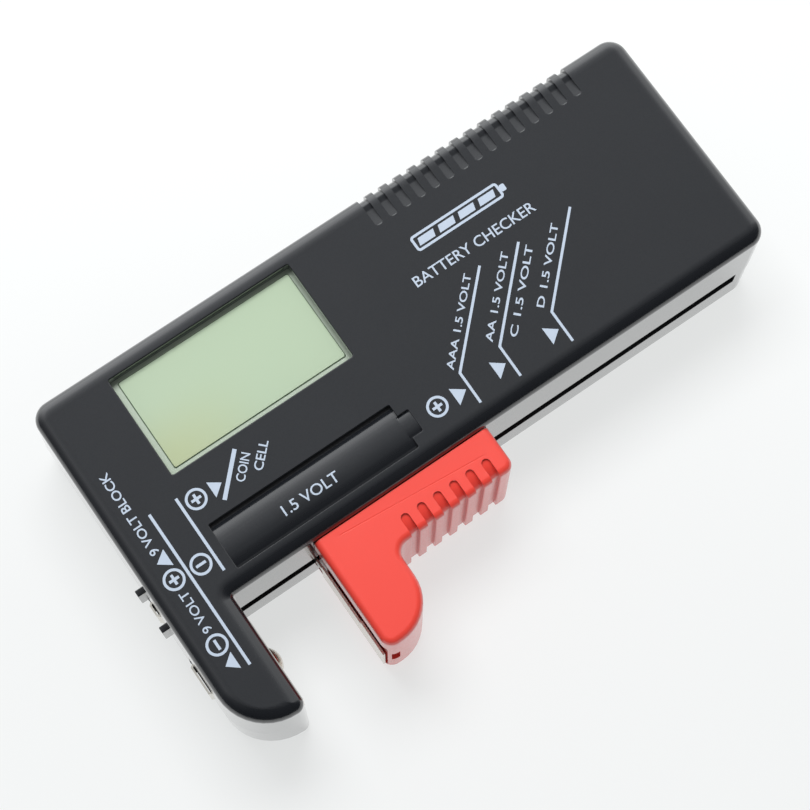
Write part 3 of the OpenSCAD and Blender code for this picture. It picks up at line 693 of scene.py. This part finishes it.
SLIDER = [
    (SLIDER_X0, SLIDER_TIP + 0.15, 2.0),
    (SLIDER_ARM_X, SLIDER_TIP + 0.15, 7.1),
    (SLIDER_ARM_X, SLIDER_FRONT, 2.0),
    (SLIDER_X1, SLIDER_FRONT, 1.6),
    (SLIDER_X1, SLIDER_BACK + 3, 0.9),
    (SLIDER_X0, SLIDER_BACK + 3, 0.7),
]
SLOTS = 6
SLOT_X0 = -16.9
SLOT_PITCH = 2.96
SLOT_W = 1.45
SLOT_DEEP = 0.65
SLOT_RUN = 3.6
SLOT_LIP = 0.2
# hollows from below, three in the bar and two in the arm: x from, x to, y from, y to
CORES = [(SLIDER_ARM_X + 0.8 + 7 * i, SLIDER_ARM_X + 6.6 + 7 * i, -24.9, -22.45) for i in range(3)]
CORES += [
    (SLIDER_X0 + 1.8, SLIDER_ARM_X - 2.2, -35.9 + 7.2 * i, -29.9 + 7.2 * i) for i in range(2)
]
CORE_TOP = 19
RECESS_FLOOR = 0.45
PAD_Y = (-38.1, -27.25)
PAD_W = 2.5
PAD_FLOOR = 0.15
CREASE = [(0.16, 0.0), (0.16, 1), (-0.16, 1), (-0.16, 0.0), (0, -0.07)]
CREASE_AT = (-14.0, -22.95, SLIDER_TOP)
CREASE_HALF = 12.5
CREASE_TURN = -5
NECK = box_corners(-28.5, 0.9, SLIDER_BACK - 0.3, -18.3, 0.1)
NECK_Z = (6.75, 10.55)


def finger_slot(x):
    """Cutter for one slot: a round-ended ramp on top, then a shallow channel down the front."""
    half, lip = SLOT_W / 2, SLOT_LIP
    back = SLIDER_FRONT + SLOT_RUN
    wall_y = SLIDER_FRONT + SLOT_DEEP
    section = [
        (back, SLIDER_TOP + 1),
        (back, SLIDER_TOP - 0.45),
        (back - 1.2, SLIDER_TOP - 0.75),
        (back - 2.2, SLIDER_TOP - 1.35),
        (wall_y + 0.15, SLIDER_TOP - 2.1),
        (wall_y, SLIDER_TOP - 2.5),
        (wall_y, SLIDER_LOW - 1),
        (SLIDER_FRONT - 1, SLIDER_LOW - 1),
        (SLIDER_FRONT - 1, SLIDER_TOP + 1),
    ][::-1]
    cutter = turned("slot", section, "X", x - half - 1, x + half + 1)
    plan = []
    for k in range(5):
        a = math.pi / 2 * k / 4
        plan.append((x + half + lip - lip * math.sin(a), SLIDER_FRONT + lip - lip * math.cos(a)))
    for k in range(13):
        a = math.pi * k / 12
        plan.append((x + half * math.cos(a), back - half + half * math.sin(a)))
    plan += [(2 * x - px, py) for px, py in reversed(plan[:5])]
    wide = half + lip + 0.2
    plan += [(x - wide, SLIDER_FRONT - 0.5), (x + wide, SLIDER_FRONT - 0.5)]
    return combine(cutter, prism("slot_plan", plan, SLIDER_LOW - 2, SLIDER_TOP + 2), "INTERSECT")


def make_slider():
    body = rolled(
        "slider_body", SLIDER, SLIDER_LOW, SLIDER_TOP, 1.1, 0.2, steps=10, arc=7, top_down=1.3
    )
    combine(body, box_object("back", -60, 60, SLIDER_BACK, 0, -5, 30))
    for i in range(SLOTS):
        combine(body, finger_slot(SLOT_X0 + SLOT_PITCH * i))
    cores = [box_object("core", *sides, 0, CORE_TOP) for sides in CORES]
    x, y = SLIDER_X0, SLIDER_TIP
    cores.append(box_object("pin_hole", -29.5, -28.15, y - 1, y + 1.3, 7.6, 12.6))
    recess = box_object("recess", x - 1, x + RECESS_FLOOR, y - 1, SLIDER_BACK + 1, 2.6, 17)
    for y in PAD_Y:
        combine(recess, box_object("pad", x + PAD_FLOOR, x + 1, y, y + PAD_W, 2, 6.5))
    cores.append(recess)
    cut_all(body, cores)
    # the faint line across the top where two mould inserts met
    crease = turned("line", CREASE, "X", -CREASE_HALF, CREASE_HALF)
    spot = Matrix.Translation(Vector(CREASE_AT) * MM)
    crease.matrix_world = spot @ Matrix.Rotation(math.radians(CREASE_TURN), 4, "Z")
    combine(body, crease)
    combine(body, rolled("neck", NECK, *NECK_Z, 0.1, 0.1, steps=2, arc=2), "UNION")
    finish_mesh(body, SLIDER_RED)
    return place(body, "slider", "slider_red", "slider_grip")


# ---------------------------------------------------------------- display


EDGE_OUT = 0.12
EDGE_THICK = 0.08


def make_display():
    """The film that shows through the window, and the dark line round its edge."""
    low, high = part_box("lcd_front_film")
    x0, x1, y0, y1 = low.x / MM, high.x / MM, low.y / MM, high.y / MM
    z0, z1 = low.z / MM, high.z / MM
    sheet = box_corners(x0, x1, y0, y1, 0.3)
    film = rolled("display_film", sheet, z0 + 0.05, z1, 0.05, steps=3, arc=2)
    finish_mesh(film, FILM)
    place(film, "case", "display_film", "lcd_front_film")
    border = box_corners(x0 - EDGE_OUT, x1 + EDGE_OUT, y0 - EDGE_OUT, y1 + EDGE_OUT, 0.3)
    edge = rolled("display_edge", border, z0, z0 + EDGE_THICK, 0, steps=3)
    finish_mesh(edge, LINE)
    place(edge, "case", "display_film")


# ---------------------------------------------------------------- printed marks

INK_LOW = TOP - 0.03
INK_TOP = 24.0
INK_MERGE = 1e-7
# centre, plus or minus, and whether a minus lies along X
SIGNS = [
    (-41.26, -5.48, True, True),
    (-46.1, -14.16, False, True),
    (-50.65, -13.85, True, True),
    (-50.75, -25.57, False, False),
    (-3.43, -14.21, True, True),
]
SIGN_ARM = 0.85
SIGN_STROKE = 0.44
ARROWS = [
    [(-38.65, -4.2), (-38.65, -7.0), (-36.75, -5.5)],
    [(-49.5, -9.05), (-51.5, -10.5), (-49.5, -11.95)],
    [(-49.7, -27.5), (-51.5, -28.95), (-49.7, -30.4)],
    [(-0.45, -12.9), (-0.45, -16.0), (1.7, -14.45)],
    [(6.95, -12.95), (6.95, -16.1), (9.0, -14.5)],
    [(16.75, -13.1), (16.75, -16.2), (18.8, -14.65)],
]
ROUTES = [
    ([(-32.3, -2.3), (-37.85, -8.0)], 0.66),
    ([(-43.75, -3.7), (-43.75, -16.85)], 0.46),
    ([(-48.35, -3.5), (-48.35, -30.7)], 0.46),
]
ROUTES += [
    ([(top, top - x - 11.8), (x, -11.8), (x - 0.05, -17.4)], 0.42)
    for x, top in ((2.4, 14.75), (9.8, 21.9), (19.55, 31.8))
]
# text, centre, angle, length, height, weight
WORDS = [
    ("AAA 1.5 VOLT", 6.95, -5.0, 45, 15.6, 1.2, 0.012),
    ("AA 1.5 VOLT", 14.05, -5.05, 45, 14.7, 1.2, 0.012),
    ("C 1.5 VOLT", 17.7, -6.4, 45, 15.0, 1.2, 0.012),
    ("D 1.5 VOLT", 23.4, -5.3, 45, 13.8, 1.2, 0.012),
    ("COIN", -32.8, -5.35, 45, 4.5, 1.45, 0.012),
    ("CELL", -29.55, -5.35, 45, 4.7, 1.45, 0.012),
    ("9 VOLT BLOCK", -50.8, -1.75, 90, 14.8, 1.5, 0.012),
    ("9 VOLT", -50.7, -19.7, 90, 7.2, 1.45, 0.008),
    ("BATTERY CHECKER", 16.1, 3.9, 0, 22.4, 1.8, 0.006),
]
GAUGE = (16.9, 9.0, 17.2, 2.8)


def bar(points, width):
    """A flat stroke along a route, with square ends and a mitred corner."""
    left, right = [], []
    pts = [Vector(p) for p in points]
    for i, p in enumerate(pts):
        d1 = (p - pts[i - 1]).normalized() if i else (pts[1] - p).normalized()
        d2 = (pts[i + 1] - p).normalized() if i < len(pts) - 1 else d1
        n = Vector((-(d1.y + d2.y), d1.x + d2.x)).normalized()
        reach = width / 2 / max(n.dot(Vector((-d1.y, d1.x))), 0.3)
        left.append(p + n * reach)
        right.append(p - n * reach)
    return prism("bar", right + list(reversed(left)), INK_LOW, INK_TOP)


def ring(x, y, radius=1.5, stroke=0.42, sides=56):
    verts, faces = [], []
    outer, inner = radius + stroke / 2, radius - stroke / 2
    for r, z in ((outer, INK_LOW), (outer, INK_TOP), (inner, INK_TOP), (inner, INK_LOW)):
        verts += [(px, py, z) for px, py in circle(x, y, r, sides)]
    for level in range(4):
        for k in range(sides):
            a, b = level * sides + k, level * sides + (k + 1) % sides
            c, d = (level + 1) % 4 * sides + (k + 1) % sides, (level + 1) % 4 * sides + k
            faces.append((a, b, c, d))
    return mesh_object("ring", verts, faces)


def sign(x, y, plus, along_x):
    """A polarity sign in its ring."""
    arm = SIGN_ARM
    parts = [ring(x, y)]
    if plus or along_x:
        parts.append(bar([(x - arm, y), (x + arm, y)], SIGN_STROKE))
    if plus:
        up = bar([(x, y - arm), (x, y + arm)], SIGN_STROKE)
        parts.append(combine(up, parts.pop(), "UNION"))
    elif not along_x:
        parts.append(bar([(x, y - arm), (x, y + arm)], SIGN_STROKE))
    return parts


def lettering(text, x, y, angle, length, height, weight=0.0):
    """Plain lettering, centred, turned and fitted to a length and a height."""
    curve = bpy.data.curves.new("lettering", "FONT")
    curve.body = text
    curve.resolution_u = 4
    curve.offset = weight
    curve.extrude = 0.5
    obj = bpy.data.objects.new("lettering", curve)
    bpy.context.scene.collection.objects.link(obj)
    mesh = evaluated_mesh(obj)
    bpy.data.objects.remove(obj, do_unlink=True)
    xs = [v.co.x for v in mesh.vertices]
    ys = [v.co.y for v in mesh.vertices]
    cx, cy = (min(xs) + max(xs)) / 2, (min(ys) + max(ys)) / 2
    sx, sy = length / (max(xs) - min(xs)), height / (max(ys) - min(ys))
    a = math.radians(angle)
    for v in mesh.vertices:
        px, py = (v.co.x - cx) * sx, (v.co.y - cy) * sy
        z = INK_TOP if v.co.z > 0 else INK_LOW
        v.co = (
            (x + px * math.cos(a) - py * math.sin(a)) * MM,
            (y + px * math.sin(a) + py * math.cos(a)) * MM,
            z * MM,
        )
    bm = bmesh.new()
    bm.from_mesh(mesh)
    bmesh.ops.remove_doubles(bm, verts=bm.verts, dist=INK_MERGE)
    bmesh.ops.recalc_face_normals(bm, faces=bm.faces)
    bm.to_mesh(mesh)
    bm.free()
    made = bpy.data.objects.new("lettering", mesh)
    bpy.context.scene.collection.objects.link(made)
    return made


def make_marks():
    parts = []
    for spot in SIGNS:
        parts += sign(*spot)
    for corners in ARROWS:
        parts.append(prism("triangle", corners, INK_LOW, INK_TOP))
    for route, width in ROUTES:
        parts.append(bar(route, width))
    for word in WORDS:
        parts.append(lettering(*word))
    parts += gauge(*GAUGE)
    marks = join("printed_marks", parts, PRINT)
    flatten_shading(marks)
    place(marks, "case", "case_black")


def gauge(x, y, length, height):
    """A plain battery pictogram: an outline, its nub and four level bars."""
    stroke, gap, nub, slant = 0.42, 0.35, 0.9, 0.35
    x0, x1 = x - length / 2, x + length / 2 - nub
    y0, y1 = y - height / 2, y + height / 2
    shape = box_corners(x0, x1, y0, y1, 0.6)
    border = prism("frame", outline(shape, 0, 6), INK_LOW, INK_TOP)
    combine(border, prism("inner", outline(shape, stroke, 6), INK_LOW - 1, INK_TOP + 1))
    tip = outline(box_corners(x1, x1 + nub, y - 0.6, y + 0.6, 0.25), 0, 4)
    parts = [border, prism("nub", tip, INK_LOW, INK_TOP)]
    pitch = (x1 - x0 - 2 * stroke - gap) / 4
    low, high = y0 + stroke + gap, y1 - stroke - gap
    for i in range(4):
        left = x0 + stroke + gap + pitch * i
        right = left + pitch - 0.55
        level = [(left, low), (right - slant, low), (right, high), (left + slant, high)]
        parts.append(prism("level", level, INK_LOW, INK_TOP))
    return parts


def flatten_shading(obj):
    for face in obj.data.polygons:
        face.use_smooth = False


RIDGE_WORD = ("1.5 VOLT", -26.7, -14.4, 0, 9.9, 1.75, 0.006)
FOLD_Y = -15.4
FOLD_PITCH = 0.17
FOLDS = 11
INK_LIFT = 0.03
INK_SUNK = 0.08


def make_relief_text():
    """The voltage on the round ridge, wrapped onto it."""
    text = lettering(*RIDGE_WORD)
    bm = bmesh.new()
    bm.from_mesh(text.data)
    for k in range(1, FOLDS + 1):
        y = (FOLD_Y + FOLD_PITCH * k) * MM
        everything = bm.verts[:] + bm.edges[:] + bm.faces[:]
        bmesh.ops.bisect_plane(bm, geom=everything, plane_co=(0, y, 0), plane_no=(0, 1, 0))
    for v in bm.verts:
        out = v.co.y / MM - RELIEF_AXIS_Y
        sink = RELIEF_R - math.sqrt(RELIEF_R * RELIEF_R - out * out)
        lift = INK_LIFT if v.co.z > (INK_LOW + INK_TOP) / 2 * MM else -INK_SUNK
        v.co.z = (RELIEF_CREST - sink + lift) * MM
    bm.to_mesh(text.data)
    bm.free()
    text.name = "printed_voltage"
    finish_mesh(text, PRINT, 30)
    place(text, "case", "case_black")


# ---------------------------------------------------------------- carried-over CAD nodes

FINISHES = {
    "lcd_front_glass": GLASS,
    "lcd_rear_glass": GLASS,
    "lcd_reflector": REFLECTOR,
    "lcd_frame": WHITE,
    "elastomer_connector": PINK,
    "circuit_board": BOARD,
    "chip_cover": RESIN,
    "board_resistors": RESIN,
    "board_capacitors": TAN,
    "board_screws": STEEL,
    "case_screws": STEEL,
    "arm_contact": NICKEL,
    "nine_volt_plus_contact": NICKEL,
    "nine_volt_minus_contact": NICKEL,
    "contact_rail": BRASS,
    "cell_spring": NICKEL,
    "cell_plate": NICKEL,
    "power_cell": SLEEVE,
    "red_leads": WIRE_RED,
    "black_leads": WIRE_BLACK,
    "slider_carriage": WHITE,
    "slider_contact_plate": NICKEL,
    "slider_wiper": BRASS,
    "slider_screws": STEEL,
}


ROUND_NODES = ("red_leads", "black_leads", "cell_spring")


def dress_nodes():
    """Material, smooth shading and a small bevel for the nodes kept from the frame."""
    for name, material in FINISHES.items():
        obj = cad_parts[name]
        if not obj.data.materials:
            obj.data.materials.append(material)
        for i in range(len(obj.data.materials)):
            obj.data.materials[i] = material
        for face in obj.data.polygons:
            face.use_smooth = True
        if name not in ROUND_NODES:
            add_bevel(obj, 0.05, 25)
        normals = obj.modifiers.new("normals", "WEIGHTED_NORMAL")
        normals.keep_sharp = True


# ---------------------------------------------------------------- camera, floor and light


LENS = 97.53
CAMERA_AT = (-56.83, -82.54, 344.12)
CAMERA_DOWN = 74.825
CAMERA_HEADING = 55.234
CAMERA_ROLL = 0.148


def make_camera():
    cam = bpy.data.cameras.new("camera")
    cam.lens = LENS
    cam.sensor_width = 36
    cam.clip_start = 0.01
    cam.clip_end = 10
    obj = bpy.data.objects.new("camera", cam)
    bpy.context.scene.collection.objects.link(obj)
    aim = Euler((math.radians(90 - CAMERA_DOWN), 0, math.radians(CAMERA_HEADING - 90)))
    roll = Matrix.Rotation(math.radians(CAMERA_ROLL), 4, "Z")
    obj.matrix_world = (
        Matrix.Translation(Vector(CAMERA_AT) * MM) @ aim.to_matrix().to_4x4() @ roll
    )
    bpy.context.scene.camera = obj


FLOOR_HALF = 3000
FLOOR_DROP = 0.00002
# the floor's own glow rises from low to high along a heading, over this run in metres
GLOW_HEADING = (0.57, 0.82)
GLOW_RUN = (-0.05, 0.06)
GLOW = (0.675, 0.745)
KEY_AT = (0.04, 0.19, 0.50)
KEY_SIZE = (0.34, 0.22)
KEY_WATTS = 3.0


def make_stage():
    n = Nodes("floor")
    cloud = n.noise(3, 2)
    n.to(n.mix(cloud, (0.205, 0.208, 0.210), (0.215, 0.218, 0.220)), "Base Color")
    n.set("Roughness", 0.7)
    n.set("Emission Color", (0.985, 1.0, 0.995, 1.0))
    split = n.add("ShaderNodeSeparateXYZ")
    n.link(n.coords.outputs["Object"], split.inputs[0])
    far = n.add("ShaderNodeMath", operation="ADD")
    for i, axis in enumerate("XY"):
        n.link(n.mul(split.outputs[axis], GLOW_HEADING[i]), far.inputs[i])
    n.to(n.span(far.outputs[0], *GLOW_RUN, *GLOW, smooth=True), "Emission Strength")
    side = FLOOR_HALF
    corners = [(-side, -side, 0), (side, -side, 0), (side, side, 0), (-side, side, 0)]
    floor = mesh_object("floor", corners, [(0, 1, 2, 3)], [n.material])
    floor.location.z = -FLOOR_DROP

    lamp = bpy.data.lights.new("key", "AREA")
    lamp.shape = "RECTANGLE"
    lamp.size, lamp.size_y = KEY_SIZE
    lamp.energy = KEY_WATTS
    key = bpy.data.objects.new("key", lamp)
    key.location = KEY_AT
    key.rotation_euler = (-key.location).to_track_quat("-Z", "Y").to_euler()
    key.visible_glossy = False
    bpy.context.scene.collection.objects.link(key)


# brightness of the sky that gloss reflects, by the Y of the ray
GLOSS_SKY = [
    (-1.0, 0.01), (-0.55, 0.02), (-0.3, 0.05), (0.0, 0.30), (0.2, 0.85), (0.3, 0.90),
    (0.45, 0.95), (0.6, 1.1), (0.8, 1.4), (1.0, 1.7),
]
# and the factor on it by the ray's X: from, to, low, high (the ramp holds half the level)
SKY_ALONG = (-0.95, -0.15, 0.25, 2)
FILL = 0.36
BACKDROP = 0.93
SKY_TINT = (0.965, 0.985, 1.0, 1.0)


def make_world():
    """Even fill for matt surfaces; for gloss, a sky bright on the far side, dark on the near."""
    world = bpy.data.worlds.new("studio")
    bpy.context.scene.world = world
    world.use_nodes = True
    tree = world.node_tree
    tree.nodes.clear()
    links = tree.links
    out = tree.nodes.new("ShaderNodeOutputWorld")
    background = tree.nodes.new("ShaderNodeBackground")
    coords = tree.nodes.new("ShaderNodeTexCoord")
    split = tree.nodes.new("ShaderNodeSeparateXYZ")
    links.new(coords.outputs["Generated"], split.inputs[0])
    across = tree.nodes.new("ShaderNodeMapRange")
    across.inputs["From Min"].default_value = -1
    links.new(split.outputs["Y"], across.inputs["Value"])
    ramp = tree.nodes.new("ShaderNodeValToRGB")
    elements = ramp.color_ramp.elements
    while len(elements) > 1:
        elements.remove(elements[-1])
    for i, (y, level) in enumerate(GLOSS_SKY):
        at = elements[0] if i == 0 else elements.new((y + 1) / 2)
        at.position = (y + 1) / 2
        at.color = (level / 2, level / 2, level / 2, 1)
    links.new(across.outputs["Result"], ramp.inputs["Fac"])
    along = tree.nodes.new("ShaderNodeMapRange")
    along.interpolation_type = "SMOOTHSTEP"
    for socket, value in zip(("From Min", "From Max", "To Min", "To Max"), SKY_ALONG):
        along.inputs[socket].default_value = value
    links.new(split.outputs["X"], along.inputs["Value"])
    level = tree.nodes.new("ShaderNodeMath")
    level.operation = "MULTIPLY"
    links.new(ramp.outputs["Color"], level.inputs[0])
    links.new(along.outputs["Result"], level.inputs[1])
    path = tree.nodes.new("ShaderNodeLightPath")
    choose = tree.nodes.new("ShaderNodeMix")
    choose.data_type = "FLOAT"
    choose.inputs[2].default_value = FILL
    links.new(path.outputs["Is Glossy Ray"], choose.inputs[0])
    links.new(level.outputs[0], choose.inputs[3])
    show = tree.nodes.new("ShaderNodeMix")
    show.data_type = "FLOAT"
    show.inputs[3].default_value = BACKDROP
    links.new(path.outputs["Is Camera Ray"], show.inputs[0])
    links.new(choose.outputs[0], show.inputs[2])
    links.new(show.outputs[0], background.inputs["Strength"])
    background.inputs["Color"].default_value = SKY_TINT
    links.new(background.outputs[0], out.inputs["Surface"])


bpy.context.scene.view_settings.view_transform = "Standard"

make_camera()
make_stage()
make_world()
make_front()
make_rear()
make_cover()
make_slider()
make_display()
make_marks()
make_relief_text()
dress_nodes()
